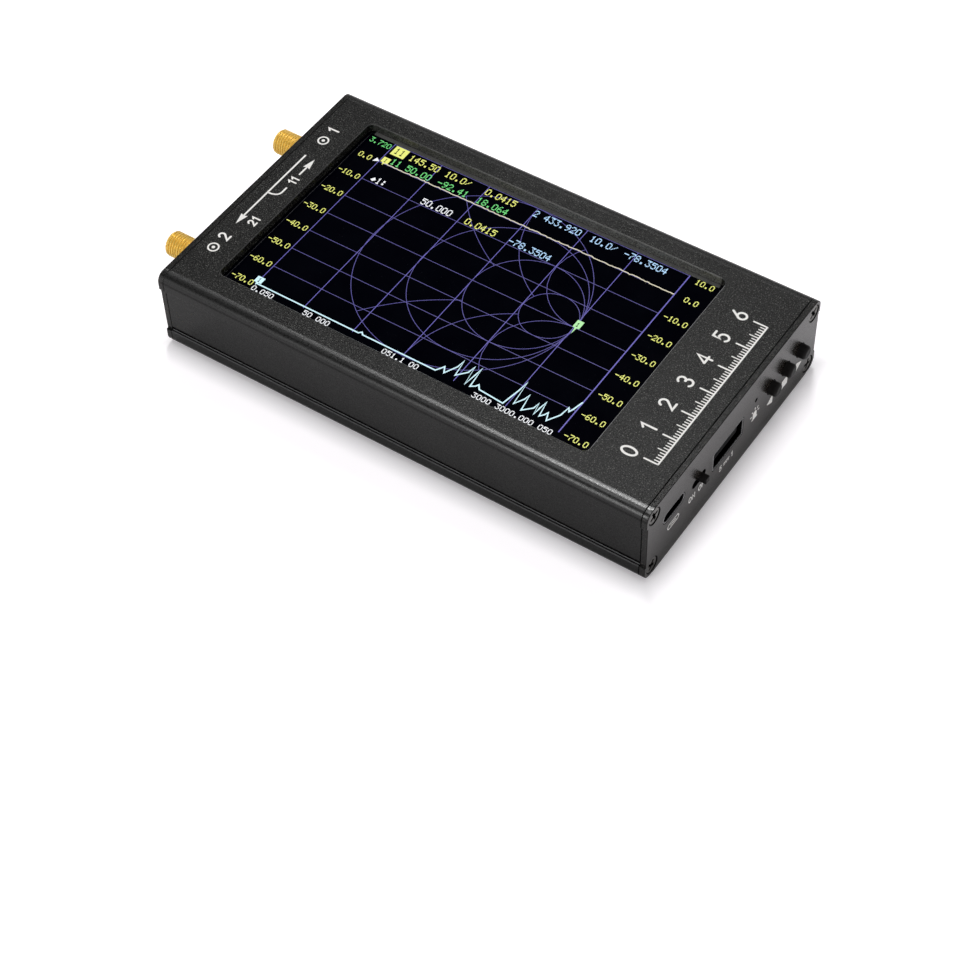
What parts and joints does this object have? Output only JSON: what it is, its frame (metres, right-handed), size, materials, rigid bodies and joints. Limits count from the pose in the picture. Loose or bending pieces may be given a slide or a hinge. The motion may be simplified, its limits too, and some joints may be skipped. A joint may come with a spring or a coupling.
{
  "type": "antenna analyzer",
  "caption": "Pocket antenna and network analyzer: black extruded case with a sunken colour screen, coaxial test ports, USB sockets, slide switch and push buttons.",
  "frame": {"origin": "middle of the flat face that the case rests on", "axes": "+X along the case to the control end, -X out of the coaxial ports, +Y across the width to the push-button side, +Z out of the screen"},
  "size_m": [0.142, 0.075, 0.0223],
  "materials": {
    "case_black": "fine bead-blasted black anodised",
    "panel_black": "fine bead-blasted black anodised",
    "screw_steel": "blackened steel",
    "screen_glass": "clear glass over a black border",
    "gasket_foam": "matt adhesive foam",
    "picture_cell": "dark display cell",
    "guide_clear": "clear light guide",
    "tray_steel": "bright sheet steel",
    "pad_foam": "matt foam",
    "ribbon_amber": "amber film",
    "connector_cream": "satin nylon",
    "board_green": "solder mask on glass-fibre laminate",
    "chip_black": "moulded epoxy",
    "inductor_grey": "pressed iron powder",
    "can_steel": "tinned sheet steel",
    "pouch_foil": "laminated foil pouch",
    "lead_red": "wire insulation",
    "jack_gold": "gold-plated brass",
    "ptfe_white": "milky insulator",
    "connector_steel": "nickel-plated steel",
    "connector_black": "moulded insulator",
    "contact_gold": "gold flash",
    "control_black": "satin moulded plastic",
    "spring_steel": "spring steel",
    "light_clear": "clear resin"
  },
  "bodies": {
    "case": {"top_shell": "case_black", "bottom_shell": "case_black", "front_panel": "panel_black", "rear_panel": "panel_black", "front_panel_screws": "screw_steel", "rear_panel_screws": "screw_steel", "touch_glass": "screen_glass", "display_gasket": "gasket_foam", "lcd_cell": "picture_cell", "light_guide": "guide_clear", "backlight_tray": "tray_steel", "display_pads": "pad_foam", "display_ribbon": "ribbon_amber", "ribbon_connector": "connector_cream", "main_board": "board_green", "board_chips": "chip_black", "power_inductors": "inductor_grey", "reference_crystal": "can_steel", "rf_shields": "can_steel", "battery_cell": "pouch_foil", "battery_pads": "pad_foam", "battery_leads": "lead_red", "battery_plug": "connector_cream", "battery_socket": "connector_cream", "sma_body_1": "jack_gold", "sma_body_2": "jack_gold", "sma_insulators": "ptfe_white", "sma_contacts": "contact_gold", "sma_lock_washers": "jack_gold", "sma_nuts": "jack_gold", "usb_c_shell": "connector_steel", "usb_c_insulator": "connector_black", "usb_c_contacts": "contact_gold", "usb_a_shell": "connector_steel", "usb_a_insulator": "connector_black", "usb_a_contacts": "contact_gold", "power_switch_frame": "spring_steel", "power_switch_base": "connector_black", "power_switch_contacts": "contact_gold", "button_housings": "connector_black", "button_covers": "spring_steel", "button_leads": "contact_gold", "left_snap_dome": "spring_steel", "centre_snap_dome": "spring_steel", "right_snap_dome": "spring_steel", "status_led": "light_clear"},
    "left_button": {"left_button": "control_black"},
    "centre_button": {"centre_button": "control_black"},
    "right_button": {"right_button": "control_black"},
    "power_switch": {"power_switch_slider": "control_black"}
  },
  "joints": [
    {"name": "left_button_press", "type": "slide", "parent": "case", "child": "left_button", "axis": [-1, 0, 0], "range_m": [0, 0.00025], "stiffness_N_per_m": 3000, "deforming": ["left_snap_dome"]},
    {"name": "centre_button_press", "type": "slide", "parent": "case", "child": "centre_button", "axis": [-1, 0, 0], "range_m": [0, 0.00025], "stiffness_N_per_m": 3000, "deforming": ["centre_snap_dome"]},
    {"name": "right_button_press", "type": "slide", "parent": "case", "child": "right_button", "axis": [-1, 0, 0], "range_m": [0, 0.00025], "stiffness_N_per_m": 3000, "deforming": ["right_snap_dome"]},
    {"name": "power_switch_slide", "type": "slide", "parent": "case", "child": "power_switch", "axis": [0, -1, 0], "range_m": [0, 0.0015]}
  ]
}
